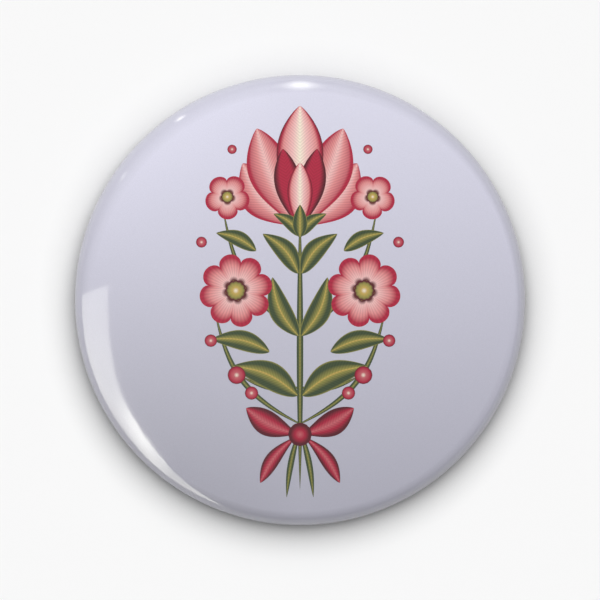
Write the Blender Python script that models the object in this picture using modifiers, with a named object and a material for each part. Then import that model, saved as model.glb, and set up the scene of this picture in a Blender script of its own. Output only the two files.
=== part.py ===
# A round domed pin-back badge, lying on its back with its printed face up.
# Three layers are pressed over one another and curled round the back rim: a clear film,
# a printed paper and a tinplate shell. A pressed plate closes the back, and a wire pin
# with a spring eye is held under two straps lanced from that plate.
# Metres, +Z up, origin at the middle of the back, on the plane that the rim rests on.

import math

import bpy
from mathutils import Vector

MM = 0.001

# Driving sizes of the pressed cover
BADGE_RADIUS = 29.0 * MM
BADGE_HEIGHT = 7.0 * MM
ROLL_RADIUS = 2.4 * MM
SKIRT_HEIGHT = 0.6 * MM
CURL_RADIUS = 1.2 * MM
FOOT_WIDTH = 0.4 * MM

# Layer thicknesses, from the outside in, and the gap left between two layers
FILM_THICKNESS = 0.10 * MM
PAPER_THICKNESS = 0.12 * MM
TINPLATE_THICKNESS = 0.25 * MM
LAYER_GAP = 0.10 * MM

# Back plate: a pan for the pin, a flat land with one stiffening bead, and a flange
PLATE_THICKNESS = 0.30 * MM
PAN_DEPTH = 3.8 * MM
PAN_RADIUS = 20.2 * MM
PAN_WALL_RUN = 0.9 * MM
PAN_CORNER = 0.6 * MM
LAND_DEPTH = 1.55 * MM
BEAD_RADIUS = 23.9 * MM
BEAD_WIDTH = 2.4 * MM
BEAD_HEIGHT = 0.55 * MM
FLANGE_RADIUS = 27.85 * MM
FLANGE_CORNER = 0.5 * MM
FLANGE_HEIGHT = 1.0 * MM

# Pin: one wire size for the arm, the spring eye and the needle
WIRE_RADIUS = 0.4 * MM
CLEARANCE = 0.3 * MM
EYE_RADIUS = 1.7 * MM
EYE_X = -15.0 * MM
EYE_TILT = math.radians(10.0)
ARM_END_X = 11.0 * MM
NEEDLE_LENGTH = 31.0 * MM
NEEDLE_TAPER = 4.5 * MM
NEEDLE_POINT_RADIUS = 0.05 * MM

# Straps and catch, lanced from the plate and bent round the wire
STRAP_THICKNESS = 0.35 * MM
STRAP_WIDTH = 2.6 * MM
STRAP_PLACES_X = (-9.0 * MM, 6.5 * MM)
CATCH_X = 13.4 * MM
CATCH_WIDTH = 2.8 * MM
LIP_LENGTH = 1.1 * MM
WINDOW_EDGE = 0.15 * MM
CATCH_WINDOW_LENGTH = 4.2 * MM

# Facets
TURN_STEPS = 48
DOME_STEPS = 5
ROLL_STEPS = 4
CURL_STEPS = 3
CORNER_STEPS = 2
BEAD_STEPS = 4
BEND_STEPS = 6
WIRE_SIDES = 10
EYE_STEPS = 24

# Places that follow from the sizes above
PAPER_INSET = FILM_THICKNESS + LAYER_GAP
SHELL_INSET = PAPER_INSET + PAPER_THICKNESS + LAYER_GAP
EYE_AXIS = Vector((0.0, math.sin(EYE_TILT), math.cos(EYE_TILT)))
EYE_ACROSS = Vector((0.0, math.cos(EYE_TILT), -math.sin(EYE_TILT)))
ARM_Z = PAN_DEPTH - CLEARANCE - WIRE_RADIUS
ARM_EYE = Vector((EYE_X, 0.0, ARM_Z)) + EYE_RADIUS * Vector((0.0, 0.0, EYE_ACROSS.z))
NEEDLE_EYE = ARM_EYE - (2 * WIRE_RADIUS + CLEARANCE) * EYE_AXIS
ARM_START = ARM_EYE - EYE_RADIUS * EYE_ACROSS
NEEDLE_START = NEEDLE_EYE + EYE_RADIUS * EYE_ACROSS


def clear_scene():
    """Removes every object of the scene the script is run in."""
    for scene_object in list(bpy.data.objects):
        bpy.data.objects.remove(scene_object, do_unlink=True)


def new_collection(name):
    """A collection linked to the scene."""
    collection = bpy.data.collections.new(name)
    bpy.context.scene.collection.children.link(collection)
    return collection


def new_material(name, colour, roughness, metallic):
    """A Principled material of one colour."""
    material = bpy.data.materials.new(name)
    material.use_nodes = True
    shader = material.node_tree.nodes["Principled BSDF"]
    shader.inputs["Base Color"].default_value = (*colour, 1.0)
    shader.inputs["Roughness"].default_value = roughness
    shader.inputs["Metallic"].default_value = metallic
    return material


def add_object(name, data, collection, material=None):
    """Links an object to a collection and gives it its material."""
    made = bpy.data.objects.new(name, data)
    collection.objects.link(made)
    if material:
        data.materials.append(material)
    return made


def make_helper(made):
    """Marks a cutter or a piece that a Boolean joins, so that it isn't a part of its own."""
    made.hide_render = True
    made.display_type = "WIRE"
    return made


def arc(centre, radius, start, end, steps):
    """(radius, height) points on an arc. Its angles are in degrees from straight up, outward first."""
    points = []
    for step in range(steps + 1):
        angle = math.radians(start + (end - start) * step / steps)
        points.append((centre[0] + radius * math.sin(angle), centre[1] + radius * math.cos(angle)))
    return points


def cover_outline(inset):
    """Outer face of a cover layer, from the top of the dome, over the rim and round the curl."""
    roll_centre = (BADGE_RADIUS - ROLL_RADIUS, CURL_RADIUS + SKIRT_HEIGHT)
    rise = BADGE_HEIGHT - ROLL_RADIUS - roll_centre[1]
    reach = (roll_centre[0] ** 2 + rise ** 2) / (2 * rise)
    lean = math.degrees(math.asin(roll_centre[0] / reach))
    dome_centre = (0.0, roll_centre[1] + rise - reach)
    outer_curl = (BADGE_RADIUS - CURL_RADIUS, CURL_RADIUS)
    inner_curl = (outer_curl[0] - FOOT_WIDTH, CURL_RADIUS)
    points = arc(dome_centre, reach + ROLL_RADIUS - inset, 0.0, lean, DOME_STEPS)
    points += arc(roll_centre, ROLL_RADIUS - inset, lean, 90.0, ROLL_STEPS)[1:]
    points += arc(outer_curl, CURL_RADIUS - inset, 90.0, 180.0, CURL_STEPS)
    points += arc(inner_curl, CURL_RADIUS - inset, 180.0, 270.0, CURL_STEPS)
    return points


def rounded(corners, corner_radii):
    """The corner points of an outline, with each inner corner replaced by a short arc."""
    points = [corners[0]]
    for before, corner, after, radius in zip(corners, corners[1:], corners[2:], corner_radii):
        here = Vector(corner)
        back = (Vector(before) - here).normalized()
        ahead = (Vector(after) - here).normalized()
        half_turn = back.angle(ahead) / 2
        reach = radius / math.tan(half_turn)
        centre = here + (back + ahead).normalized() * radius / math.sin(half_turn)
        start = here + back * reach - centre
        end = here + ahead * reach - centre
        for step in range(CORNER_STEPS + 1):
            towards = start.slerp(end, step / CORNER_STEPS).normalized()
            points.append(tuple(centre + towards * radius))
    return points + [corners[-1]]


def plate_outline():
    """Back face of the plate, from the middle of the pan out to the top of the flange."""
    bead_start = BEAD_RADIUS - BEAD_WIDTH / 2
    bead = []
    for step in range(BEAD_STEPS + 1):
        share = step / BEAD_STEPS
        drop = BEAD_HEIGHT * math.sin(math.pi * share) ** 2
        bead.append((bead_start + BEAD_WIDTH * share, LAND_DEPTH - drop))
    pan = rounded(
        [(0.0, PAN_DEPTH), (PAN_RADIUS, PAN_DEPTH), (PAN_RADIUS + PAN_WALL_RUN, LAND_DEPTH), bead[0]],
        [PAN_CORNER, PAN_CORNER],
    )
    flange = rounded(
        [bead[-1], (FLANGE_RADIUS, LAND_DEPTH), (FLANGE_RADIUS, LAND_DEPTH + FLANGE_HEIGHT)],
        [FLANGE_CORNER],
    )
    return pan + bead[1:] + flange[1:]


def turned(name, outline, collection, material):
    """Spins an outline of (radius, height) points round the Z axis."""
    mesh = bpy.data.meshes.new(name)
    edges = [(index, index + 1) for index in range(len(outline) - 1)]
    mesh.from_pydata([(radius, 0.0, height) for radius, height in outline], edges, [])
    made = add_object(name, mesh, collection, material)
    spin = made.modifiers.new("spin", "SCREW")
    spin.steps = TURN_STEPS
    spin.render_steps = TURN_STEPS
    spin.use_merge_vertices = True
    spin.merge_threshold = 0.00001
    return made


def thicken(made, thickness, side):
    """Gives an open surface its wall: side is 1 along its normals and -1 against them."""
    wall = made.modifiers.new("wall", "SOLIDIFY")
    wall.thickness = thickness
    wall.offset = side
    wall.use_even_offset = True
    return made


def boolean(made, operation, other):
    """Cuts or joins another mesh object."""
    change = made.modifiers.new(operation.lower(), "BOOLEAN")
    change.operation = operation
    change.solver = "EXACT"
    change.object = other


def box_helper(name, low, high, collection):
    """A box between two corners, as a cutter."""
    bpy.ops.mesh.primitive_cube_add(size=1.0)
    made = bpy.context.object
    made.name = name
    made.location = (Vector(low) + Vector(high)) / 2
    made.scale = Vector(high) - Vector(low)
    for owner in list(made.users_collection):
        owner.objects.unlink(made)
    collection.objects.link(made)
    return make_helper(made)


def bent_strip(name, outline, middle_x, width, collection):
    """A strip of sheet whose (y, z) outline is extruded along X."""
    curve = bpy.data.curves.new(name + "_outline", "CURVE")
    curve.dimensions = "2D"
    curve.fill_mode = "BOTH"
    curve.extrude = width / 2
    line = curve.splines.new("POLY")
    line.points.add(len(outline) - 1)
    for point, (y, z) in zip(line.points, outline):
        point.co = (y, z, 0.0, 1.0)
    line.use_cyclic_u = True
    flat = add_object(name + "_outline", curve, collection)
    # The outline's own X and Y become the part's Y and Z.
    flat.rotation_euler = (math.pi / 2, 0.0, math.pi / 2)
    flat.location = (middle_x, 0.0, 0.0)
    bpy.context.view_layer.update()
    mesh = bpy.data.meshes.new_from_object(flat.evaluated_get(bpy.context.evaluated_depsgraph_get()))
    made = add_object(name, mesh, collection)
    made.matrix_world = flat.matrix_world
    bpy.data.objects.remove(flat)
    weld = made.modifiers.new("weld", "WELD")
    weld.merge_threshold = 0.00001
    return make_helper(made)


def bend(centre, radius, start, end):
    """(y, z) points round a wire's middle. Its angles are in degrees from +Y, anticlockwise."""
    points = []
    for step in range(BEND_STEPS + 1):
        angle = math.radians(start + (end - start) * step / BEND_STEPS)
        points.append((centre[0] + radius * math.cos(angle), centre[1] + radius * math.sin(angle)))
    return points


def strap_outline():
    """A strap's U round the arm, with its legs running up into the plate."""
    inner = WIRE_RADIUS + CLEARANCE
    outer = inner + STRAP_THICKNESS
    middle = (ARM_START.y, ARM_Z)
    root = PAN_DEPTH + PLATE_THICKNESS / 2
    return (
        [(middle[0] - outer, root)]
        + bend(middle, outer, 180.0, 360.0)
        + [(middle[0] + outer, root), (middle[0] + inner, root)]
        + bend(middle, inner, 360.0, 180.0)
        + [(middle[0] - inner, root)]
    )


def catch_outline():
    """The catch's wall beside the needle and its lip under it, open towards +Y."""
    inner = WIRE_RADIUS + CLEARANCE
    outer = inner + STRAP_THICKNESS
    middle = (NEEDLE_START.y, NEEDLE_START.z)
    root = PAN_DEPTH + PLATE_THICKNESS / 2
    lip_end = middle[0] + LIP_LENGTH
    return (
        [(middle[0] - outer, root)]
        + bend(middle, outer, 180.0, 270.0)
        + [(lip_end, middle[1] - outer), (lip_end, middle[1] - inner)]
        + bend(middle, inner, 270.0, 180.0)
        + [(middle[0] - inner, root)]
    )


def window_helper(name, middle_x, width, low_y, high_y, collection):
    """The hole left in the plate where a strap or the catch was lanced out of it."""
    low = (middle_x - width / 2, low_y, PAN_DEPTH - PLATE_THICKNESS)
    high = (middle_x + width / 2, high_y, PAN_DEPTH + 2 * PLATE_THICKNESS)
    return box_helper(name, low, high, collection)


def build_cover_layers(collection):
    """The film, the paper and the shell, each a wall inside the one before it."""
    film = new_material("clear_film_over_print", (0.60, 0.60, 0.72), 0.12, 0.0)
    paper = new_material("printed_paper", (0.88, 0.87, 0.86), 0.75, 0.0)
    tin = new_material("shell_tinplate", (0.72, 0.72, 0.70), 0.32, 1.0)
    thicken(turned("cover_film", cover_outline(0.0), collection, film), FILM_THICKNESS, -1)
    thicken(turned("printed_paper", cover_outline(PAPER_INSET), collection, paper), PAPER_THICKNESS, -1)
    thicken(turned("front_shell", cover_outline(SHELL_INSET), collection, tin), TINPLATE_THICKNESS, -1)


def build_back_plate(collection, helpers):
    """The pressed plate with its lanced straps, its catch and the windows they leave."""
    tin = new_material("plate_tinplate", (0.75, 0.75, 0.73), 0.28, 1.0)
    plate = thicken(turned("back_plate", plate_outline(), collection, tin), PLATE_THICKNESS, 1)
    strap_reach = WIRE_RADIUS + CLEARANCE - WINDOW_EDGE
    for number, place in enumerate(STRAP_PLACES_X, start=1):
        low_y, high_y = ARM_START.y - strap_reach, ARM_START.y + strap_reach
        window = window_helper(f"strap_window_{number}", place, STRAP_WIDTH, low_y, high_y, helpers)
        boolean(plate, "DIFFERENCE", window)
    catch_low_y = NEEDLE_START.y - strap_reach
    catch_high_y = catch_low_y + CATCH_WINDOW_LENGTH
    window = window_helper("catch_window", CATCH_X, CATCH_WIDTH, catch_low_y, catch_high_y, helpers)
    boolean(plate, "DIFFERENCE", window)
    for number, place in enumerate(STRAP_PLACES_X, start=1):
        boolean(plate, "UNION", bent_strip(f"strap_{number}", strap_outline(), place, STRAP_WIDTH, helpers))
    boolean(plate, "UNION", bent_strip("catch", catch_outline(), CATCH_X, CATCH_WIDTH, helpers))


def eye_helper(name, parent, collection):
    """A wire ring round its parent's Z axis, for a Boolean to join to a straight wire."""
    bpy.ops.mesh.primitive_torus_add(
        major_radius=EYE_RADIUS,
        minor_radius=WIRE_RADIUS,
        major_segments=EYE_STEPS,
        minor_segments=WIRE_SIDES,
    )
    made = bpy.context.object
    made.name = name
    for owner in list(made.users_collection):
        owner.objects.unlink(made)
    collection.objects.link(made)
    made.parent = parent
    return make_helper(made)


def straight_wire(name, outline, parent, across, collection, material):
    """A turned wire that lies along X, starting beside its parent's axis."""
    made = turned(name, outline, collection, material)
    made.modifiers["spin"].steps = WIRE_SIDES
    made.modifiers["spin"].render_steps = WIRE_SIDES
    made.parent = parent
    made.location = (0.0, across, 0.0)
    made.rotation_euler = (0.0, math.pi / 2, 0.0)
    return made


def eye_pivot(name, place, collection):
    """An empty at the middle of a spring eye, whose Z axis is the eye's axis."""
    pivot = add_object(name, None, collection)
    pivot.location = place
    pivot.rotation_euler = (-EYE_TILT, 0.0, 0.0)
    return pivot


def build_pin(collection, helpers):
    """The fixed arm and the needle, each one wire that ends in a full turn of the spring eye."""
    steel = new_material("pin_wire", (0.66, 0.66, 0.68), 0.22, 1.0)
    arm_length = ARM_END_X - EYE_X
    arm_outline = [(0.0, arm_length), (WIRE_RADIUS, arm_length), (WIRE_RADIUS, 0.0), (0.0, 0.0)]
    needle_outline = [
        (0.0, NEEDLE_LENGTH),
        (NEEDLE_POINT_RADIUS, NEEDLE_LENGTH),
        (WIRE_RADIUS, NEEDLE_LENGTH - NEEDLE_TAPER),
        (WIRE_RADIUS, 0.0),
        (0.0, 0.0),
    ]
    arm_pivot = eye_pivot("arm_pivot", ARM_EYE, collection)
    needle_pivot = eye_pivot("needle_pivot", NEEDLE_EYE, collection)
    arm = straight_wire("pin_arm", arm_outline, arm_pivot, -EYE_RADIUS, collection, steel)
    needle = straight_wire("pin_needle", needle_outline, needle_pivot, EYE_RADIUS, collection, steel)
    boolean(arm, "UNION", eye_helper("arm_eye", arm_pivot, helpers))
    boolean(needle, "UNION", eye_helper("needle_eye", needle_pivot, helpers))


def build_badge():
    clear_scene()
    badge = new_collection("pin_back_badge")
    helpers = new_collection("cutters_and_joined_pieces")
    build_cover_layers(badge)
    build_back_plate(badge, helpers)
    build_pin(badge, helpers)
    bpy.context.view_layer.update()


build_badge()
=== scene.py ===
# The looks of a round pin-back badge: glossy film over a printed face, tinplate back, wire pin.
# Sizes in the dictionaries are millimetres and degrees unless a name says otherwise.
import math
import random

import bpy
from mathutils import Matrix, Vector


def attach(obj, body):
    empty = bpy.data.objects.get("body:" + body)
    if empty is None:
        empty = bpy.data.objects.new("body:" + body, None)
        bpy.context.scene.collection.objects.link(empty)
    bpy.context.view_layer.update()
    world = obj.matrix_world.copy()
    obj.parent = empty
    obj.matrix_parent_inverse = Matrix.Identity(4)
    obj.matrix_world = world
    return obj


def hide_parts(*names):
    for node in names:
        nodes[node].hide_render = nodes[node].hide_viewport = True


mm = 0.001
mergeReach = 0.002  # points closer than this become one
pickReach = 0.01  # a point this near to a height counts as lying on it

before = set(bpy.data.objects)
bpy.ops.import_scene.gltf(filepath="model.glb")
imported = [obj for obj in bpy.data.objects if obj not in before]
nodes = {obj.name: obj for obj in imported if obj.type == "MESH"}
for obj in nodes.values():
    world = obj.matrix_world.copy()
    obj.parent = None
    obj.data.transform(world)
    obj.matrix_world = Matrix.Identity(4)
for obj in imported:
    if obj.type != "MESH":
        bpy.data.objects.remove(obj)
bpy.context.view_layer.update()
print("frame loaded:", ", ".join(sorted(nodes)))

badge = {
    "radius": 29.0,
    "height": 7.0,
    "rollRadius": 2.4,
    "skirt": 0.6,
    "curlRadius": 1.2,
    "foot": 0.4,
    "shoulder": 0.96,  # share of the dome's lean where finer rings start, before the roll
    "shoulderSteps": 6,
    "middle": 0.02,  # radius of the last ring, which is then closed to a point
}


def deselectAll():
    if bpy.context.object and bpy.context.object.mode != "OBJECT":
        bpy.ops.object.mode_set(mode="OBJECT")
    bpy.ops.object.select_all(action="DESELECT")


def pick(piece):
    deselectAll()
    piece.select_set(True)
    bpy.context.view_layer.objects.active = piece


def applyModifiers(piece):
    pick(piece)
    for modifier in list(piece.modifiers):
        bpy.ops.object.modifier_apply(modifier=modifier.name)


def settle(piece):
    # puts the place into the mesh, so that object coordinates are the badge's own
    pick(piece)
    bpy.ops.object.transform_apply(location=True, rotation=True, scale=True)


def smooth(piece, angle):
    pick(piece)
    bpy.ops.object.shade_smooth_by_angle(angle=math.radians(angle))


def dress(piece, material, body, slot, *replaced):
    piece.data.materials.clear()
    piece.data.materials.append(material)
    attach(piece, body)
    if replaced:
        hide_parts(*replaced)


def closeMesh():
    # ends the edit: doubled points are merged and all faces turned outwards
    bpy.ops.mesh.select_all(action="SELECT")
    bpy.ops.mesh.remove_doubles(threshold=mergeReach * mm)
    bpy.ops.mesh.normals_make_consistent(inside=False)
    bpy.ops.object.mode_set(mode="OBJECT")


def ringShell(name, profile, segments):
    # a circle that is extruded and resized ring by ring along a profile of (radius, height)
    # its last ring is closed to a point in the middle
    deselectAll()
    firstRadius, firstHeight = profile[0]
    bpy.ops.mesh.primitive_circle_add(
        vertices=segments, radius=firstRadius * mm, fill_type="NOTHING"
    )
    piece = bpy.context.object
    piece.name = name
    bpy.ops.object.mode_set(mode="EDIT")
    bpy.ops.mesh.select_all(action="SELECT")
    bpy.ops.transform.translate(value=(0, 0, firstHeight * mm))
    for (radius, height), (nextRadius, nextHeight) in zip(profile, profile[1:]):
        rise = (nextHeight - height) * mm
        bpy.ops.mesh.extrude_region_move(TRANSFORM_OT_translate={"value": (0, 0, rise)})
        share = nextRadius / radius
        bpy.ops.transform.resize(value=(share, share, 1), center_override=(0, 0, nextHeight * mm))
    bpy.ops.mesh.merge(type="CENTER")
    closeMesh()
    return piece


def thicken(piece, thickness, offset):
    wall = piece.modifiers.new("wall", "SOLIDIFY")
    wall.thickness = thickness * mm
    wall.offset = offset
    wall.use_even_offset = True
    applyModifiers(piece)


def joinSolid(piece, other, operation):
    change = piece.modifiers.new("join", "BOOLEAN")
    change.operation = operation
    change.solver = "EXACT"
    change.object = other
    applyModifiers(piece)
    bpy.data.objects.remove(other)


def arc(centre, radius, start, end, steps):
    # angles from straight up, outward first
    points = []
    for step in range(steps + 1):
        angle = math.radians(start + (end - start) * step / steps)
        out, height = radius * math.sin(angle), radius * math.cos(angle)
        points.append((centre[0] + out, centre[1] + height))
    return points


def coverProfile(domeSteps, rollSteps, curlSteps):
    roll = (badge["radius"] - badge["rollRadius"], badge["curlRadius"] + badge["skirt"])
    rise = badge["height"] - badge["rollRadius"] - roll[1]
    reach = (roll[0] ** 2 + rise**2) / (2 * rise)
    lean = math.degrees(math.asin(roll[0] / reach))
    shoulder = badge["shoulder"] * lean
    curl = (badge["radius"] - badge["curlRadius"], badge["curlRadius"])
    innerCurl = (curl[0] - badge["foot"], badge["curlRadius"])
    domeCentre, domeRadius = (0.0, roll[1] + rise - reach), reach + badge["rollRadius"]
    points = arc(domeCentre, domeRadius, 0.0, shoulder, domeSteps)
    points += arc(domeCentre, domeRadius, shoulder, lean, badge["shoulderSteps"])[1:]
    points += arc(roll, badge["rollRadius"], lean, 90.0, rollSteps)[1:]
    points += arc(curl, badge["curlRadius"], 90.0, 180.0, curlSteps)
    points += arc(innerCurl, badge["curlRadius"], 180.0, 270.0, curlSteps)
    return points


# Paints and shader helpers

paint = {
    "ground": "C6C5D4",
    "blush": "E9B9B6",
    "rose": "D98A8A",
    "deepRose": "BE6068",
    "crimson": "A91F3C",
    "wine": "551623",
    "olive": "8F8A45",
    "gold": "C2A457",
    "leaf": "3C4A30",
    "cream": "EFE3CF",
}
contrast = (0.3, 0.7)  # the middle part of a noise, which is spread over a look's full range


def linear(name):
    # a paint's sRGB value as the linear colour that a shader takes
    parts = [int(paint[name][place : place + 2], 16) / 255 for place in (0, 2, 4)]
    return tuple(
        part / 12.92 if part <= 0.04045 else ((part + 0.055) / 1.055) ** 2.4 for part in parts
    )


def newMaterial(name):
    material = bpy.data.materials.new(name)
    material.use_nodes = True
    tree = material.node_tree
    return material, tree, tree.nodes["Principled BSDF"]


def calc(tree, operation, *values):
    node = tree.nodes.new("ShaderNodeMath")
    node.operation = operation
    for socket, value in zip(node.inputs, values):
        if isinstance(value, (int, float)):
            socket.default_value = value
        else:
            tree.links.new(value, socket)
    return node.outputs[0]


def noise(tree, vector, scale, detail, roughness):
    node = tree.nodes.new("ShaderNodeTexNoise")
    node.inputs["Scale"].default_value = scale
    node.inputs["Detail"].default_value = detail
    node.inputs["Roughness"].default_value = roughness
    tree.links.new(vector, node.inputs["Vector"])
    return node.outputs["Fac"]


def mapRange(tree, value, low, high, newLow, newHigh):
    node = tree.nodes.new("ShaderNodeMapRange")
    tree.links.new(value, node.inputs["Value"])
    names = ("From Min", "From Max", "To Min", "To Max")
    for name, number in zip(names, (low, high, newLow, newHigh)):
        node.inputs[name].default_value = number
    return node.outputs["Result"]


def objectCoordinates(tree, scale=(1.0, 1.0, 1.0)):
    place = tree.nodes.new("ShaderNodeTexCoord")
    mapping = tree.nodes.new("ShaderNodeMapping")
    mapping.inputs["Scale"].default_value = scale
    tree.links.new(place.outputs["Object"], mapping.inputs["Vector"])
    return mapping.outputs["Vector"]


def planeReach(tree, right, up):
    squares = [calc(tree, "MULTIPLY", part, part) for part in (right, up)]
    return calc(tree, "SQRT", calc(tree, "ADD", *squares))


def ramp(tree, value, stops):
    # stops are rows of (place, paint or colour)
    node = tree.nodes.new("ShaderNodeValToRGB")
    band = node.color_ramp
    while len(band.elements) < len(stops):
        band.elements.new(0.5)
    for element, (place, colour) in zip(band.elements, stops):
        element.position = place
        colour = linear(colour) if isinstance(colour, str) else colour
        element.color = (*colour, 1.0)
    tree.links.new(value, node.inputs["Fac"])
    return node.outputs["Color"]


def layOver(tree, under, over, mask, mode="MIX"):
    node = tree.nodes.new("ShaderNodeMix")
    node.data_type = "RGBA"
    node.blend_type = mode
    # the node's sockets for colours are 6 and 7, and the mask's is 0
    for number, value in ((6, under), (7, over), (0, mask)):
        socket = node.inputs[number]
        if isinstance(value, (int, float)):
            socket.default_value = value
        elif isinstance(value, tuple):
            socket.default_value = (*value, 1.0)
        else:
            tree.links.new(value, socket)
    return node.outputs[2]


def bump(tree, height, strength, depth):
    node = tree.nodes.new("ShaderNodeBump")
    node.inputs["Strength"].default_value = strength
    node.inputs["Distance"].default_value = depth * mm
    tree.links.new(height, node.inputs["Height"])
    return node.outputs["Normal"]


# The print: a folk-style spray of flowers, drawn once on one side and mirrored over the middle

printLook = {
    "paintedLightLift": 0.225,  # painted light and shade: how much lighter the ground is at the top, and darker at the bottom
    "leftLift": 0.29,  # and how much more so towards the left edge
    "leftShade": 0.015,
    "rightShade": 0.035,
    "edgeStartLeft": 26.3,  # radius where the painted shade over the rim starts, at the upper left
    "edgeStartRight": 28.0,  # and at the lower right
    "slantReach": 1.41,  # the run between the two, in radii
    "edgeEnd": 28.95,
    "edgeLeft": -0.06,
    "edgeRight": -0.42,
    "edgeRise": 0.06,
    "edgeLift": 0.05,  # how much of the tone's run is left at the edge
    "stitchPitch": 0.42,
    "stitchSlant": 0.9,
    "stitchShade": (0.86, 1.06),
    "petalFullness": 0.8,
    "petalTip": 0.00001,  # keeps a petal from having no width at its ends
    "daisyStitches": 54.0,
    "daisyFullness": 0.55,
}

printStops = {
    "petal": [(0.0, "blush"), (0.35, "rose"), (0.74, "deepRose"), (0.86, "crimson")],
    "innerPetal": [
        (0.0, "cream"),
        (0.3, "blush"),
        (0.72, "rose"),
        (0.87, "crimson"),
        (1.0, "wine"),
    ],
    "darkPetal": [(0.5, "crimson"), (0.86, "wine")],
    "leaf": [(0.0, "gold"), (0.1, "olive"), (0.55, "leaf"), (0.86, "leaf"), (1.0, "olive")],
    "stem": [(0.0, "olive"), (0.5, "leaf")],
    "bow": [(0.0, "deepRose"), (0.4, "crimson"), (0.8, "wine")],
    "daisy": [
        (0.0, "wine"),
        (0.2, "gold"),
        (0.3, "wine"),
        (0.4, "blush"),
        (0.7, "rose"),
        (0.9, "crimson"),
    ],
    "heart": [(0.0, "cream"), (0.3, "gold"), (0.7, "olive"), (0.9, "wine")],
    "berry": [(0.0, "cream"), (0.3, "deepRose"), (0.8, "crimson"), (1.0, "wine")],
}

# rows of (kind, x, y, turn, length, half width, how far along it is widest, bend, paints)
# a daisy's row is (kind, x, y, turn, radius, petals, petal depth, paints)
sprayPlan = [
    ("petal", -1.28, -16.5, 52.0, 20.0, 0.36, 1.0, -3.0, "stem"),
    ("petal", -1.07, -5.43, 58.0, 20.8, 0.32, 1.0, -2.6, "stem"),
    ("petal", -1.58, -10.75, 8.0, 9.8, 0.26, 1.0, -1.3, "stem"),
    ("petal", 0.0, -24.4, 90.0, 36.0, 0.42, 1.0, 0.0, "stem"),
    ("petal", 0.0, -16.5, -79.0, 9.0, 0.4, 1.0, 0.3, "stem"),
    ("petal", 0.3, -12.2, 24.0, 9.2, 1.75, 0.85, 0.9, "leaf"),
    ("petal", 3.9, -6.6, 12.0, 7.6, 1.3, 0.85, 0.7, "leaf"),
    ("petal", 0.2, -4.6, 66.0, 8.2, 1.45, 0.85, -0.8, "leaf"),
    ("petal", 0.2, 3.4, 48.0, 6.8, 1.3, 0.85, 0.7, "leaf"),
    ("petal", 5.6, 6.3, 24.0, 5.6, 1.0, 0.85, 0.5, "leaf"),
    ("petal", 0.0, 9.3, 48.0, 11.0, 2.5, 1.35, -1.2, "petal"),
    ("petal", 0.0, 8.9, 67.0, 14.2, 2.7, 1.4, -0.7, "petal"),
    ("petal", 0.0, 8.9, 90.0, 16.0, 3.0, 1.4, 0.0, "innerPetal"),
    ("petal", 0.0, 9.0, 78.0, 10.6, 1.7, 1.3, -0.3, "darkPetal"),
    ("petal", 0.0, 9.0, 90.0, 8.6, 1.6, 1.2, 0.0, "innerPetal"),
    ("petal", 0.0, 8.2, 40.0, 4.4, 0.85, 0.8, 0.5, "leaf"),
    ("petal", 0.0, 8.0, 90.0, 4.2, 0.95, 0.8, 0.0, "leaf"),
    ("daisy", 8.2, 1.2, 12.0, 4.7, 8, 0.24, "daisy"),
    ("daisy", 8.2, 1.2, 0.0, 1.35, 12, 0.1, "heart"),
    ("daisy", 9.3, 13.2, 20.0, 2.9, 5, 0.3, "daisy"),
    ("daisy", 9.3, 13.2, 0.0, 0.8, 12, 0.1, "heart"),
    ("daisy", 8.1, -9.6, 0.0, 1.15, 12, 0.02, "berry"),
    ("daisy", 6.2, -11.9, 0.0, 0.85, 12, 0.02, "berry"),
    ("daisy", 11.4, -5.2, 0.0, 0.8, 12, 0.02, "berry"),
    ("daisy", 12.6, 7.4, 0.0, 0.7, 12, 0.02, "berry"),
    ("daisy", 8.7, 19.3, 0.0, 0.6, 12, 0.02, "berry"),
    ("petal", 0.3, -17.2, 27.0, 7.4, 1.6, 1.25, -0.5, "bow"),
    ("petal", 0.3, -17.3, -52.0, 7.8, 0.95, 1.4, 0.6, "bow"),
    ("daisy", 0.0, -17.2, 0.0, 1.5, 12, 0.03, "bow"),
]


def petalShape(tree, across, up, row):
    # how far a point is from a petal's middle line: 0 on it, 1 at the petal's edge
    _, x, y, turn, length, halfWidth, widest, bend, _ = row
    cosine, sine = math.cos(math.radians(turn)), math.sin(math.radians(turn))
    right, rise = calc(tree, "SUBTRACT", across, x), calc(tree, "SUBTRACT", up, y)
    rightPart = calc(tree, "MULTIPLY", right, cosine / length)
    along = calc(tree, "ADD", rightPart, calc(tree, "MULTIPLY", rise, sine / length))
    risePart = calc(tree, "MULTIPLY", rise, cosine)
    aside = calc(tree, "SUBTRACT", risePart, calc(tree, "MULTIPLY", right, sine))
    held = calc(tree, "MINIMUM", calc(tree, "MAXIMUM", along, 0.0), 1.0)
    swell = calc(tree, "SINE", calc(tree, "MULTIPLY", calc(tree, "POWER", held, widest), math.pi))
    if bend:
        bow = calc(tree, "SINE", calc(tree, "MULTIPLY", held, math.pi))
        aside = calc(tree, "SUBTRACT", aside, calc(tree, "MULTIPLY", bow, bend))
    swell = calc(tree, "MAXIMUM", swell, printLook["petalTip"])
    full = calc(tree, "POWER", swell, printLook["petalFullness"])
    width = calc(tree, "MULTIPLY", full, halfWidth)
    spread = calc(tree, "ABSOLUTE", aside)
    turns = 2 * math.pi / printLook["stitchPitch"]
    lean = calc(tree, "MULTIPLY", spread, printLook["stitchSlant"] * turns)
    phase = calc(tree, "SUBTRACT", calc(tree, "MULTIPLY", along, length * turns), lean)
    return calc(tree, "DIVIDE", spread, width), phase


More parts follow.
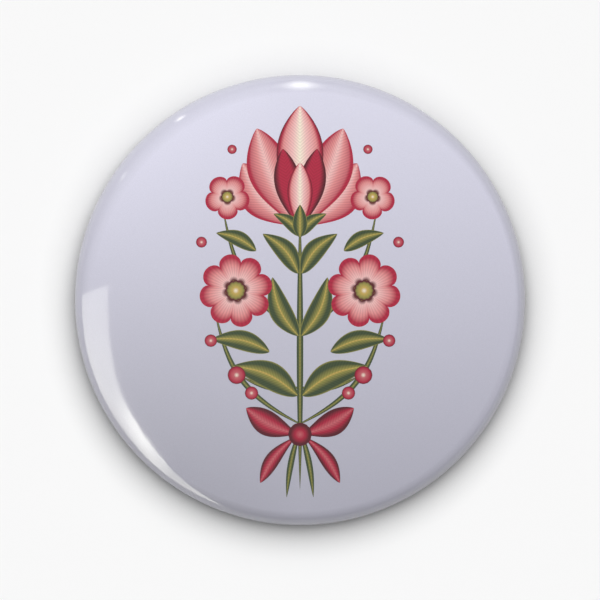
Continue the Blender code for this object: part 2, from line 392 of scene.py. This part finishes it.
def daisyShape(tree, across, up, row):
    # how far a point is from a daisy's middle: 0 there, 1 at the edge of its petals
    _, x, y, turn, radius, petals, depth, _ = row
    right, rise = calc(tree, "SUBTRACT", across, x), calc(tree, "SUBTRACT", up, y)
    angle = calc(tree, "ADD", calc(tree, "ARCTAN2", rise, right), math.radians(turn))
    wave = calc(tree, "ABSOLUTE", calc(tree, "COSINE", calc(tree, "MULTIPLY", angle, petals / 2)))
    swell = calc(tree, "POWER", wave, printLook["daisyFullness"])
    edge = calc(tree, "ADD", calc(tree, "MULTIPLY", swell, radius * depth), radius * (1 - depth))
    phase = calc(tree, "MULTIPLY", angle, printLook["daisyStitches"])
    return calc(tree, "DIVIDE", planeReach(tree, right, rise), edge), phase


def paintedGroundShading(tree, right, up):
    # painted light and shade: the ground's tone runs from light to dark down the face
    size = badge["radius"]
    slantReach = printLook["slantReach"] * size
    leftward = mapRange(tree, right, -size, 0.0, printLook["leftLift"], 0.0)
    lift = calc(tree, "ADD", leftward, printLook["paintedLightLift"])
    tone = calc(tree, "MULTIPLY", calc(tree, "DIVIDE", up, size), lift)
    sideShade = mapRange(tree, right, -size, size, printLook["leftShade"], printLook["rightShade"])
    tone = calc(tree, "SUBTRACT", tone, sideShade)
    # painted shade where the paper bends over the rim, starting further out at the lower right
    starts = printLook["edgeStartLeft"], printLook["edgeStartRight"]
    start = mapRange(tree, calc(tree, "SUBTRACT", right, up), -slantReach, slantReach, *starts)
    beyond = calc(tree, "SUBTRACT", planeReach(tree, right, up), start)
    beyond = calc(tree, "MAXIMUM", beyond, 0.0)
    bend = calc(tree, "DIVIDE", beyond, calc(tree, "SUBTRACT", printLook["edgeEnd"], start))
    bend = calc(tree, "MINIMUM", bend, 1.0)
    tone = calc(tree, "MULTIPLY", tone, mapRange(tree, bend, 0.0, 1.0, 1.0, printLook["edgeLift"]))
    shade = mapRange(tree, right, -size, size, printLook["edgeLeft"], printLook["edgeRight"])
    shade = calc(tree, "ADD", shade, calc(tree, "MULTIPLY", up, printLook["edgeRise"] / size))
    return calc(tree, "ADD", calc(tree, "ADD", tone, calc(tree, "MULTIPLY", shade, bend)), 1.0)


def drawPrint(tree):
    flat = tree.nodes.new("ShaderNodeSeparateXYZ")
    tree.links.new(objectCoordinates(tree, (1 / mm, 1 / mm, 1 / mm)), flat.inputs[0])
    across = calc(tree, "ABSOLUTE", flat.outputs["X"])
    up = flat.outputs["Y"]
    # the ground's colour is multiplied by painted light and shade
    tone = paintedGroundShading(tree, flat.outputs["X"], up)
    picture = layOver(tree, linear("ground"), tone, 1.0, "MULTIPLY")
    for row in sprayPlan:
        shape = petalShape if row[0] == "petal" else daisyShape
        level, phase = shape(tree, across, up, row)
        inside = calc(tree, "LESS_THAN", level, 1.0)
        stitch = mapRange(tree, calc(tree, "SINE", phase), -1.0, 1.0, *printLook["stitchShade"])
        colour = layOver(tree, ramp(tree, level, printStops[row[-1]]), stitch, 1.0, "MULTIPLY")
        picture = layOver(tree, picture, colour, inside)
    return picture


# in the looks, a noise is (scale, detail, roughness) and a bump is (strength, depth)
filmLook = {
    "mottle": (9000.0, 2.0, 0.55),
    "mottleDark": 0.93,
    "roughness": 0.45,
    "specular": 0.2,
    "coatRoughness": 0.045,
    "coatIor": 1.58,
    "ripple": (320.0, 1.0, 0.55),
    "rippleBump": (0.12, 0.01),
}


def filmMaterial():
    material, tree, shader = newMaterial("glossy_film_over_print")
    picture = drawPrint(tree)
    grain = noise(tree, objectCoordinates(tree), *filmLook["mottle"])
    tones = (filmLook["mottleDark"],) * 3, (1.0, 1.0, 1.0)
    mottle = ramp(tree, grain, list(zip(contrast, tones)))
    mottled = layOver(tree, picture, mottle, 1.0, "MULTIPLY")
    tree.links.new(mottled, shader.inputs["Base Color"])
    shader.inputs["Roughness"].default_value = filmLook["roughness"]
    shader.inputs["Specular IOR Level"].default_value = filmLook["specular"]
    shader.inputs["Coat Weight"].default_value = 1.0
    shader.inputs["Coat Roughness"].default_value = filmLook["coatRoughness"]
    shader.inputs["Coat IOR"].default_value = filmLook["coatIor"]
    ripple = noise(tree, objectCoordinates(tree), *filmLook["ripple"])
    tree.links.new(bump(tree, ripple, *filmLook["rippleBump"]), shader.inputs["Coat Normal"])
    return material


tinLook = {
    "plate": {"colour": (0.74, 0.74, 0.72), "roughness": 0.3},
    "shell": {"colour": (0.72, 0.72, 0.7), "roughness": 0.34},
    "grain": (7000.0, 3.0, 0.6),
    "grainStretch": (0.03, 1.0, 1.0),
    "grainRoughness": 0.05,
    "grainBump": (0.25, 0.01),
    "clouds": (260.0, 4.0, 0.6),
    "cloudDark": 0.96,
    "cloudPlaces": (0.25, 0.75),
    "cloudRoughness": (-0.02, 0.03),
}


def tinMaterial(name, tin):
    material, tree, shader = newMaterial(name)
    shader.inputs["Metallic"].default_value = 1.0
    stretched = objectCoordinates(tree, tinLook["grainStretch"])
    rolled = noise(tree, stretched, *tinLook["grain"])
    clouds = noise(tree, objectCoordinates(tree), *tinLook["clouds"])
    dark = tuple(part * tinLook["cloudDark"] for part in tin["colour"])
    tint = ramp(tree, clouds, list(zip(tinLook["cloudPlaces"], (dark, tin["colour"]))))
    tree.links.new(tint, shader.inputs["Base Color"])
    cloudRange = [tin["roughness"] + change for change in tinLook["cloudRoughness"]]
    cloudy = mapRange(tree, clouds, *contrast, *cloudRange)
    swing = tinLook["grainRoughness"]
    grainy = mapRange(tree, rolled, *contrast, -swing, swing)
    tree.links.new(calc(tree, "ADD", cloudy, grainy), shader.inputs["Roughness"])
    tree.links.new(bump(tree, rolled, *tinLook["grainBump"]), shader.inputs["Normal"])
    return material


wireLook = {
    "tones": ((0.60, 0.60, 0.61), (0.74, 0.74, 0.74)),
    "roughness": (0.13, 0.27),
    "clouds": (700.0, 3.0, 0.55),
    "drawn": (9000.0, 2.0, 0.55),
    "drawnStretch": (0.05, 1.0, 1.0),
    "drawnBump": (0.15, 0.006),
}


def wireMaterial():
    material, tree, shader = newMaterial("plated_spring_wire")
    shader.inputs["Metallic"].default_value = 1.0
    stretched = objectCoordinates(tree, wireLook["drawnStretch"])
    drawn = noise(tree, stretched, *wireLook["drawn"])
    clouds = noise(tree, objectCoordinates(tree), *wireLook["clouds"])
    tint = ramp(tree, clouds, list(zip(contrast, wireLook["tones"])))
    tree.links.new(tint, shader.inputs["Base Color"])
    rough = mapRange(tree, drawn, *contrast, *wireLook["roughness"])
    tree.links.new(rough, shader.inputs["Roughness"])
    tree.links.new(bump(tree, drawn, *wireLook["drawnBump"]), shader.inputs["Normal"])
    return material


paperLook = {
    "tones": ((0.78, 0.77, 0.75), (0.88, 0.87, 0.85)),
    "roughness": 0.8,
    "fibres": (6000.0, 4.0, 0.7),
    "fibreBump": (0.3, 0.01),
}


def paperMaterial():
    material, tree, shader = newMaterial("coated_paper")
    fibres = noise(tree, objectCoordinates(tree), *paperLook["fibres"])
    tint = ramp(tree, fibres, list(zip(contrast, paperLook["tones"])))
    tree.links.new(tint, shader.inputs["Base Color"])
    shader.inputs["Roughness"].default_value = paperLook["roughness"]
    tree.links.new(bump(tree, fibres, *paperLook["fibreBump"]), shader.inputs["Normal"])
    return material


plateTin = tinMaterial("plate_tinplate", tinLook["plate"])
shellTin = tinMaterial("shell_tinplate", tinLook["shell"])
print("materials made")

# Film: fine rings all round, with the pleats that it takes where it is tucked under

film = {
    "thickness": 0.1,
    "pleats": 108,
    "segmentsPerPleat": 4,
    "pleatDepths": (0.03, 0.05, 0.07),
    "pleatStartHeight": 1.3,
    "pleatInside": 0.5,  # the share of the radius inside which nothing is pressed
    "pleatMiddle": 0.05,  # how far off a pleat's middle line a point may be, in pleats
    "seed": 7,
    "domeSteps": 28,
    "rollSteps": 32,
    "curlSteps": 8,
    "smoothAngle": 50.0,
}


def makeFilm():
    segments = film["pleats"] * film["segmentsPerPleat"]
    profile = coverProfile(film["domeSteps"], film["rollSteps"], film["curlSteps"])
    profile = list(reversed(profile))[:-1] + [(badge["middle"], badge["height"])]
    piece = ringShell("film_with_print", profile, segments)
    chance = random.Random(film["seed"])
    depths = [chance.choice(film["pleatDepths"]) for _ in range(film["pleats"])]
    for depth in film["pleatDepths"]:
        numbers = [number for number in range(film["pleats"]) if depths[number] == depth]
        pressValleys(piece, numbers, depth)
    thicken(piece, film["thickness"], -1.0)
    smooth(piece, film["smoothAngle"])
    dress(piece, filmMaterial(), "badge", "film", "cover_film")


def pressValleys(piece, numbers, depth):
    # the middle line of each pleat is pressed in from the skirt's foot to the tucked edge
    inside = film["pleatInside"] * badge["radius"] * mm
    pick(piece)
    bpy.ops.object.mode_set(mode="EDIT")
    bpy.ops.mesh.select_mode(type="VERT")
    bpy.ops.mesh.select_all(action="DESELECT")
    bpy.ops.object.mode_set(mode="OBJECT")
    step = 2 * math.pi / film["pleats"]
    for vertex in piece.data.vertices:
        x, y, z = vertex.co
        if z > film["pleatStartHeight"] * mm or math.hypot(x, y) < inside:
            continue
        turn = math.atan2(y, x) % (2 * math.pi) / step
        nearest = round(turn)
        onLine = abs(turn - nearest) < film["pleatMiddle"]
        vertex.select = onLine and nearest % film["pleats"] in numbers
    bpy.ops.object.mode_set(mode="EDIT")
    bpy.ops.transform.shrink_fatten(value=-depth * mm)
    bpy.ops.object.mode_set(mode="OBJECT")


makeFilm()
print("film and print done")

for name, material in (("printed_paper", paperMaterial()), ("front_shell", shellTin)):
    nodes[name].data.materials.clear()
    nodes[name].data.materials.append(material)

# Back plate: one pressing with two straps and a catch lanced out of it

plate = {
    "thickness": 0.3,
    "panDepth": 3.8,
    "panRings": (10.0, 18.5),
    "panRadius": 20.2,
    "wallRun": 0.9,
    "panCorner": 0.6,
    "landDepth": 1.55,
    "beadRadius": 23.9,
    "beadWidth": 2.4,
    "beadHeight": 0.55,
    "beadSteps": 14,
    "flangeRadius": 27.85,
    "flangeCorner": 0.5,
    "flangeHeight": 1.0,
    "cornerSteps": 6,
    "segments": 240,
    "smoothAngle": 32.0,
}
# grow says on which side of a strip's normals its thickness lies, so that it is away from the wire
strap = {
    "places": (-9.0, 6.5),
    "width": 2.6,
    "sweep": 180.0,
    "lip": 0.0,
    "grow": 1.0,
}
catch = {
    "place": 13.4,
    "width": 2.8,
    "window": 4.2,
    "sweep": 90.0,
    "lip": 1.1,
    "grow": -1.0,
}
lanced = {
    "thickness": 0.35,
    "clear": 0.7,
    "bendSteps": 14,
    "edge": 0.05,
    "edgeSegments": 2,
    "edgeAngle": 40.0,
    "windowEdge": 0.15,
    "windowCorner": 0.12,
    "windowSegments": 3,
    "windowDepth": 4,  # times the plate's thickness
}
pin = {
    "wire": 0.4,
    "gap": 0.3,
    "eyeRadius": 1.7,
    "eyeX": -15.0,
    "tilt": 10.0,
    "armEnd": 11.0,
    "needleLength": 31.0,
    "taper": 4.5,
    "taperSteps": 8,
    "taperRounding": 1.3,
    "point": 0.05,
    "root": [(-0.5, 0.22), (0.0, 0.392), (0.8, 0.4)],  # (place, radius) as it leaves the eye
    "armTip": [(0.12, 0.4), (0.03, 0.33), (0.0, 0.24)],  # (place before the end, radius)
    "sides": 24,
    "eyeSteps": 72,
    "smoothAngle": 50.0,
}
tilt = math.radians(pin["tilt"])
armZ = plate["panDepth"] - pin["gap"] - pin["wire"]
armEye = Vector((pin["eyeX"], 0.0, armZ - pin["eyeRadius"] * math.sin(tilt)))
eyeAxis = Vector((0.0, math.sin(tilt), math.cos(tilt)))
needleEye = armEye - (2 * pin["wire"] + pin["gap"]) * eyeAxis
eyeAcross = Vector((0.0, math.cos(tilt), -math.sin(tilt)))
armLine = armEye - pin["eyeRadius"] * eyeAcross
needleLine = needleEye + pin["eyeRadius"] * eyeAcross


def rounded(corners, radius, steps):
    # the outline with an arc at each inner corner
    points = [corners[0]]
    for before, corner, after in zip(corners, corners[1:], corners[2:]):
        here = Vector(corner)
        back = (Vector(before) - here).normalized()
        ahead = (Vector(after) - here).normalized()
        half = back.angle(ahead) / 2
        centre = here + (back + ahead).normalized() * radius / math.sin(half)
        start = here + back * radius / math.tan(half) - centre
        end = here + ahead * radius / math.tan(half) - centre
        for step in range(steps + 1):
            points.append(tuple(centre + start.slerp(end, step / steps).normalized() * radius))
    return points + [corners[-1]]


def plateProfile():
    pan, land, rim = plate["panDepth"], plate["landDepth"], plate["flangeRadius"]
    beadStart = plate["beadRadius"] - plate["beadWidth"] / 2
    wallEnd = plate["panRadius"] + plate["wallRun"]
    bead = []
    for step in range(plate["beadSteps"] + 1):
        share = step / plate["beadSteps"]
        drop = plate["beadHeight"] * math.sin(math.pi * share) ** 2
        bead.append((beadStart + plate["beadWidth"] * share, land - drop))
    flat = [(radius, pan) for radius in (badge["middle"], *plate["panRings"])]
    wall = [flat[-1], (plate["panRadius"], pan), (wallEnd, land), bead[0]]
    wall = rounded(wall, plate["panCorner"], plate["cornerSteps"])
    flange = [bead[-1], (rim, land), (rim, land + plate["flangeHeight"])]
    flange = rounded(flange, plate["flangeCorner"], plate["cornerSteps"])
    return list(reversed(flat + wall[1:] + bead[1:] + flange[1:]))


def softenEdges(piece, width, segments):
    edge = piece.modifiers.new("edge", "BEVEL")
    edge.width = width * mm
    edge.segments = segments
    edge.limit_method = "ANGLE"
    edge.angle_limit = math.radians(lanced["edgeAngle"])
    applyModifiers(piece)


def selectEdges(piece, wanted):
    # from object mode: picks the edges whose two ends both pass the test, and stays in edit mode
    bpy.ops.object.mode_set(mode="EDIT")
    bpy.ops.mesh.select_mode(type="EDGE")
    bpy.ops.mesh.select_all(action="DESELECT")
    bpy.ops.object.mode_set(mode="OBJECT")
    points = piece.data.vertices
    for edge in piece.data.edges:
        edge.select = all(wanted(points[end].co / mm) for end in edge.vertices)
    bpy.ops.object.mode_set(mode="EDIT")


def bentStrip(name, x, line, strip):
    # comes down from the plate and bends under a wire, then goes back up or runs on as a lip
    root = plate["panDepth"] + plate["thickness"] / 2
    leg = root - line.z
    start = (x, line.y - lanced["clear"], line.z + leg / 2)
    deselectAll()
    bpy.ops.mesh.primitive_plane_add(size=1.0)
    piece = bpy.context.object
    piece.name = name
    bpy.ops.object.mode_set(mode="EDIT")
    bpy.ops.mesh.select_all(action="SELECT")
    bpy.ops.transform.resize(value=(strip["width"] * mm, leg * mm, 1.0))
    bpy.ops.transform.rotate(value=math.pi / 2, orient_axis="X", center_override=(0, 0, 0))
    bpy.ops.transform.translate(value=[part * mm for part in start])
    bpy.ops.object.mode_set(mode="OBJECT")
    selectEdges(piece, lambda point: abs(point.z - line.z) < pickReach)
    bpy.ops.mesh.spin(
        steps=lanced["bendSteps"],
        angle=-math.radians(strip["sweep"]),
        center=(x * mm, line.y * mm, line.z * mm),
        axis=(1, 0, 0),
    )
    onward = (0, strip["lip"] * mm, 0) if strip["lip"] else (0, 0, leg * mm)
    bpy.ops.mesh.extrude_region_move(TRANSFORM_OT_translate={"value": onward})
    closeMesh()
    thicken(piece, lanced["thickness"], strip["grow"])
    softenEdges(piece, lanced["edge"], lanced["edgeSegments"])
    return piece


def windowCutter(x, width, lowY, highY):
    # the hole that a strap or the catch leaves in the plate, with rounded corners
    deselectAll()
    middle = (x * mm, (lowY + highY) / 2 * mm, plate["panDepth"] * mm)
    bpy.ops.mesh.primitive_cube_add(size=1.0, location=middle)
    cutter = bpy.context.object
    depth = lanced["windowDepth"] * plate["thickness"] * mm
    cutter.scale = (width * mm, (highY - lowY) * mm, depth)
    settle(cutter)
    softenEdges(cutter, lanced["windowCorner"], lanced["windowSegments"])
    return cutter


def makePlate():
    piece = ringShell("pressed_back_plate", plateProfile(), plate["segments"])
    thicken(piece, plate["thickness"], -1.0)
    reach = lanced["clear"] - lanced["windowEdge"]
    for x in strap["places"]:
        window = windowCutter(x, strap["width"], armLine.y - reach, armLine.y + reach)
        joinSolid(piece, window, "DIFFERENCE")
    low = needleLine.y - reach
    window = windowCutter(catch["place"], catch["width"], low, low + catch["window"])
    joinSolid(piece, window, "DIFFERENCE")
    for x in strap["places"]:
        joinSolid(piece, bentStrip("strap", x, armLine, strap), "UNION")
    joinSolid(piece, bentStrip("catch", catch["place"], needleLine, catch), "UNION")
    smooth(piece, plate["smoothAngle"])
    dress(piece, plateTin, "badge", "plate_tin", "back_plate")


makePlate()
print("back plate done")


def makeWire(name, eye, side, rings, body, replaced):
    # one turn of the spring eye and the straight wire that leaves it, in the eye's own plane
    deselectAll()
    bpy.ops.mesh.primitive_circle_add(
        vertices=pin["sides"], radius=rings[0][1] * mm, fill_type="NGON"
    )
    piece = bpy.context.object
    piece.name = name
    bpy.ops.object.mode_set(mode="EDIT")
    bpy.ops.mesh.select_all(action="SELECT")
    bpy.ops.transform.rotate(value=math.pi / 2, orient_axis="Y", center_override=(0, 0, 0))
    bpy.ops.transform.translate(value=(rings[0][0] * mm, 0, 0))
    for (place, radius), (nextPlace, nextRadius) in zip(rings, rings[1:]):
        onward = ((nextPlace - place) * mm, 0, 0)
        bpy.ops.mesh.extrude_region_move(TRANSFORM_OT_translate={"value": onward})
        share = nextRadius / radius
        bpy.ops.transform.resize(value=(1, share, share), center_override=(nextPlace * mm, 0, 0))
    bpy.ops.mesh.select_all(action="SELECT")
    bpy.ops.transform.translate(value=(0, side * pin["eyeRadius"] * mm, 0))
    bpy.ops.mesh.normals_make_consistent(inside=False)
    bpy.ops.object.mode_set(mode="OBJECT")
    deselectAll()
    bpy.ops.mesh.primitive_torus_add(
        major_radius=pin["eyeRadius"] * mm,
        minor_radius=pin["wire"] * mm,
        major_segments=pin["eyeSteps"],
        minor_segments=pin["sides"],
    )
    joinSolid(piece, bpy.context.object, "UNION")
    piece.rotation_euler = (-tilt, 0, 0)
    piece.location = eye * mm
    settle(piece)
    smooth(piece, pin["smoothAngle"])
    dress(piece, plated, body, "wire", replaced)


def armRings():
    end = pin["armEnd"] - pin["eyeX"]
    return pin["root"] + [(end - back, radius) for back, radius in pin["armTip"]]


def needleRings():
    # the point is ground to a long taper that rounds in towards its tip
    length, taper, point = pin["needleLength"], pin["taper"], pin["point"]
    rings = pin["root"] + [(length - taper, pin["wire"])]
    for step in range(1, pin["taperSteps"] + 1):
        share = step / pin["taperSteps"]
        radius = point + (pin["wire"] - point) * (1 - share ** pin["taperRounding"])
        rings.append((length - taper * (1 - share), radius))
    return rings


plated = wireMaterial()
makeWire("wire_arm_with_eye", armEye, -1, armRings(), "badge", "pin_arm")
makeWire("wire_needle_with_eye", needleEye, 1, needleRings(), "needle", "pin_needle")
print("pin done")

# Floor, camera and lights

view = {
    "height": 600.0,
    "frameWidth": 77.33,
    "framePlane": 1.6,
    "sensor": 36.0,
    "clipStart": 10.0,
    "floorSize": 6000.0,
    "floorShift": 1200.0,
    "floorDrop": 0.01,
    "floorTone": 0.9,
    "floorRoughness": 0.9,
    "footprint": 29.0,  # light passes the floor within this radius, and reflections within the next
    "plateReach": 27.4,
    "contactReach": 5.0,
    "contactRange": (0.45, 0.97),  # openness where the painted shadow is full, and where there is none
    "paintedShadowAbove": 0.22,
    "paintedShadowBelow": 0.5,
}
light = {
    "keyStrength": 2.77,
    "keyTilt": 30.0,
    "keyTurn": 9.0,
    "keySpread": 72.0,
    "fill": 0.285,
    "backdrop": 0.93,
    "cardDistance": 900.0,
    "cardSteps": 5,
    "cardBands": 12,
    "cardBlend": 1.3,  # above 1 the inner edge's glow reaches further out
    "cardRings": (200, 200, 4),  # steps of the fine profile that the cards are worked out on
    "cardTint": (1.0, 1.0, 0.9, 1.0),
    "underDepth": 800.0,
    "underSize": 1600.0,
    "underLamps": {"under_left": (-600.0, 450.0, 5.5), "under_right": (800.0, -500.0, 3.0)},
}


def makeFloor():
    deselectAll()
    # off centre, so that the line between the plane's two triangles runs outside the picture
    place = (view["floorShift"] * mm, 0, -view["floorDrop"] * mm)
    bpy.ops.mesh.primitive_plane_add(size=view["floorSize"] * mm, location=place)
    floor = bpy.context.object
    floor.name = "floor"
    settle(floor)
    material, tree, shader = newMaterial("pale_floor")
    # a painted contact shadow round whatever stands on it, from an ambient occlusion lookup
    contact = tree.nodes.new("ShaderNodeAmbientOcclusion")
    contact.inputs["Distance"].default_value = view["contactReach"] * mm
    closed = mapRange(tree, contact.outputs["AO"], *view["contactRange"], 1.0, 0.0)
    spot = tree.nodes.new("ShaderNodeSeparateXYZ")
    tree.links.new(objectCoordinates(tree), spot.inputs[0])
    # the painted shadow is stronger on the lower side of the badge than on the upper
    reach = badge["radius"] * mm
    weights = view["paintedShadowBelow"], view["paintedShadowAbove"]
    weight = mapRange(tree, spot.outputs["Y"], 0.0, reach, *weights)
    shade = calc(tree, "SUBTRACT", 1.0, calc(tree, "MULTIPLY", closed, weight))
    tone = layOver(tree, (view["floorTone"],) * 3, shade, 1.0, "MULTIPLY")
    tree.links.new(tone, shader.inputs["Base Color"])
    shader.inputs["Roughness"].default_value = view["floorRoughness"]
    shader.inputs["Specular IOR Level"].default_value = 0.0
    # the floor isn't there for a camera below it, nor for light and reflections under the badge
    clear = tree.nodes.new("ShaderNodeBsdfTransparent")
    choice = tree.nodes.new("ShaderNodeMixShader")
    path = tree.nodes.new("ShaderNodeLightPath")
    side = tree.nodes.new("ShaderNodeNewGeometry")
    flat = tree.nodes.new("ShaderNodeVectorMath")
    flat.operation = "LENGTH"
    tree.links.new(objectCoordinates(tree, (1.0, 1.0, 0.0)), flat.inputs[0])
    under = calc(tree, "LESS_THAN", flat.outputs["Value"], view["footprint"] * mm)
    lit = calc(tree, "MAXIMUM", path.outputs["Is Shadow Ray"], path.outputs["Is Diffuse Ray"])
    underPlate = calc(tree, "LESS_THAN", flat.outputs["Value"], view["plateReach"] * mm)
    passing = calc(tree, "MULTIPLY", path.outputs["Is Glossy Ray"], underPlate)
    passing = calc(tree, "MAXIMUM", passing, calc(tree, "MULTIPLY", lit, under))
    passing = calc(tree, "MAXIMUM", side.outputs["Backfacing"], passing)
    tree.links.new(passing, choice.inputs["Fac"])
    tree.links.new(shader.outputs["BSDF"], choice.inputs[1])
    tree.links.new(clear.outputs["BSDF"], choice.inputs[2])
    tree.links.new(choice.outputs["Shader"], tree.nodes["Material Output"].inputs["Surface"])
    floor.data.materials.append(material)


def makeCamera():
    bpy.ops.object.camera_add(location=(0, 0, view["height"] * mm), rotation=(0, 0, 0))
    camera = bpy.context.object
    camera.data.sensor_width = view["sensor"]
    sightLine = view["height"] - view["framePlane"]
    camera.data.lens = view["sensor"] * sightLine / view["frameWidth"]
    camera.data.clip_start = view["clipStart"] * mm
    bpy.context.scene.camera = camera


def mirrorPoint(radius, azimuth, distance):
    # where a lamp has to be for the camera to see it mirrored at that place on the dome
    profile = coverProfile(*light["cardRings"])
    pairs = zip(profile, profile[1:])
    (outR, outZ), (nextR, nextZ) = next(pair for pair in pairs if pair[1][0] >= radius)
    share = (radius - outR) / (nextR - outR)
    turn = math.radians(azimuth)
    outward = Vector((math.cos(turn), math.sin(turn), 0))
    place = outward * radius + Vector((0, 0, outZ + (nextZ - outZ) * share))
    normal = (outward * (outZ - nextZ) + Vector((0, 0, nextR - outR))).normalized()
    sight = (place - Vector((0, 0, view["height"]))).normalized()
    return (place + sight.reflect(normal) * distance) * mm


def between(rows, steps):
    # the rows with more of them worked out in between
    dense = []
    for row, nextRow in zip(rows, rows[1:]):
        for share in (step / steps for step in range(steps)):
            dense.append([value + (after - value) * share for value, after in zip(row, nextRow)])
    return dense + [rows[-1]]


def reflectedCard(name, rows, strength, fade):
    # a glowing card, shaped so that its mirror image on the dome fills the rows
    dense = between(rows, light["cardSteps"])
    last = len(dense) - 1
    deselectAll()
    bpy.ops.mesh.primitive_grid_add(
        x_subdivisions=last, y_subdivisions=light["cardBands"], size=1.0
    )
    card = bpy.context.object
    card.name = name
    glow = card.data.attributes.new("glow", "FLOAT", "POINT")
    for vertex in card.data.vertices:
        row = dense[round((vertex.co.x + 0.5) * last)]
        share = min(max(vertex.co.y + 0.5, 0.0), 1.0)
        edges = zip(row[:2], row[3:5])
        azimuth, radius = (inner + (outer - inner) * share for inner, outer in edges)
        level = row[2] + (row[5] - row[2]) * share ** light["cardBlend"]
        vertex.co = mirrorPoint(radius, azimuth, light["cardDistance"])
        glow.data[vertex.index].value = level * math.sin(math.pi * share) ** fade
    material, tree, shader = newMaterial(name)
    tree.nodes.remove(shader)
    lamp = tree.nodes.new("ShaderNodeEmission")
    lamp.inputs["Color"].default_value = light["cardTint"]
    level = tree.nodes.new("ShaderNodeAttribute")
    level.attribute_name = "glow"
    power = calc(tree, "MULTIPLY", level.outputs["Fac"], strength)
    tree.links.new(power, lamp.inputs["Strength"])
    tree.links.new(lamp.outputs["Emission"], tree.nodes["Material Output"].inputs["Surface"])
    card.data.materials.append(material)
    card.visible_camera = False
    card.visible_diffuse = False
    card.visible_shadow = False


def makeLights():
    leaning = (-math.radians(light["keyTilt"]), 0, -math.radians(light["keyTurn"]))
    bpy.ops.object.light_add(type="SUN", rotation=leaning)
    key = bpy.context.object
    key.name = "key"
    key.data.energy = light["keyStrength"]
    key.data.angle = math.radians(light["keySpread"])
    key.visible_glossy = False
    for name, (x, y, power) in light["underLamps"].items():
        place = Vector((x, y, -light["underDepth"])) * mm
        bpy.ops.object.light_add(type="AREA", location=place)
        under = bpy.context.object
        under.name = name
        under.data.size = light["underSize"] * mm
        under.data.energy = power
        under.rotation_euler = place.to_track_quat("Z", "Y").to_euler()


def makeWorld():
    world = bpy.data.worlds.new("studio")
    bpy.context.scene.world = world
    world.use_nodes = True
    tree = world.node_tree
    fill = tree.nodes["Background"]
    fill.inputs["Color"].default_value = (1, 1, 1, 1)
    fill.inputs["Strength"].default_value = light["fill"]
    backdrop = tree.nodes.new("ShaderNodeBackground")
    backdrop.inputs["Color"].default_value = (1, 1, 1, 1)
    backdrop.inputs["Strength"].default_value = light["backdrop"]
    path = tree.nodes.new("ShaderNodeLightPath")
    choice = tree.nodes.new("ShaderNodeMixShader")
    tree.links.new(path.outputs["Is Camera Ray"], choice.inputs["Fac"])
    tree.links.new(fill.outputs["Background"], choice.inputs[1])
    tree.links.new(backdrop.outputs["Background"], choice.inputs[2])
    tree.links.new(choice.outputs["Shader"], tree.nodes["World Output"].inputs["Surface"])


# where each card's reflection lies on the face, in rows of
# (azimuth, radius and glow of its inner edge, azimuth, radius and glow of its outer edge)
softboxRows = [
    (175.5, 24.6, 0.35, 178.8, 27.98, 0.38),
    (186.0, 24.73, 0.42, 186.5, 28.05, 0.45),
    (192.0, 24.97, 0.5, 192.0, 28.14, 0.49),
    (198.0, 25.22, 0.56, 198.0, 28.15, 0.52),
    (204.0, 25.52, 0.6, 204.0, 28.17, 0.53),
    (210.0, 25.84, 0.82, 210.0, 28.18, 0.45),
    (216.0, 26.14, 1.36, 216.0, 28.2, 0.38),
    (222.0, 26.46, 1.46, 222.0, 28.22, 0.5),
    (228.0, 26.9, 0.89, 228.0, 28.3, 0.7),
    (234.0, 27.34, 0.42, 234.0, 28.45, 0.5),
    (240.0, 27.74, 0.5, 240.0, 28.6, 0.6),
    (246.0, 28.06, 0.6, 246.0, 28.7, 0.6),
    (253.0, 28.45, 0.1, 253.0, 28.76, 0.1),
]
topRows = [
    (81.5, 27.2, 0.0, 81.5, 28.05, 0.0),
    (84.5, 27.05, 0.14, 84.5, 28.16, 0.14),
    (86.5, 26.92, 0.45, 86.5, 28.28, 0.45),
    (88.4, 26.82, 0.92, 88.4, 28.38, 0.92),
    (90.0, 26.8, 1.0, 90.0, 28.4, 1.0),
    (91.3, 26.82, 0.92, 91.3, 28.38, 0.92),
    (93.2, 26.92, 0.45, 93.2, 28.28, 0.45),
    (95.2, 27.05, 0.14, 95.2, 28.16, 0.14),
    (98.0, 27.2, 0.0, 98.0, 28.05, 0.0),
]
upperRows = [
    (121.0, 27.8, 0.0, 121.0, 28.05, 0.0),
    (121.8, 27.7, 0.2, 121.8, 28.16, 0.2),
    (122.6, 27.64, 0.7, 122.6, 28.24, 0.7),
    (123.4, 27.62, 1.0, 123.4, 28.28, 1.0),
    (124.2, 27.64, 0.7, 124.2, 28.28, 0.7),
    (125.0, 27.7, 0.2, 125.0, 28.24, 0.2),
    (125.8, 27.8, 0.0, 125.8, 28.15, 0.0),
]
faintRows = [
    (142.6, 27.5, 0.0, 142.6, 27.9, 0.0),
    (144.0, 27.42, 0.8, 144.0, 27.96, 0.8),
    (145.0, 27.4, 1.0, 145.0, 28.0, 1.0),
    (146.0, 27.42, 0.8, 146.0, 27.96, 0.8),
    (147.4, 27.5, 0.0, 147.4, 27.9, 0.0),
]
# fade is how strongly a card's glow falls off from its middle to both edges
cards = {
    "left_softbox": {"rows": softboxRows, "strength": 8.7, "fade": 0.0},
    "top_strip": {"rows": topRows, "strength": 8.4, "fade": 2.0},
    "upper_left_lamp": {"rows": upperRows, "strength": 8.0, "fade": 1.6},
    "faint_lamp": {"rows": faintRows, "strength": 2.6, "fade": 1.2},
}

makeFloor()
makeCamera()
makeWorld()
makeLights()
for name, card in cards.items():
    reflectedCard(name, card["rows"], card["strength"], card["fade"])
bpy.context.scene.view_settings.view_transform = "Standard"
print("floor, camera and lights done")
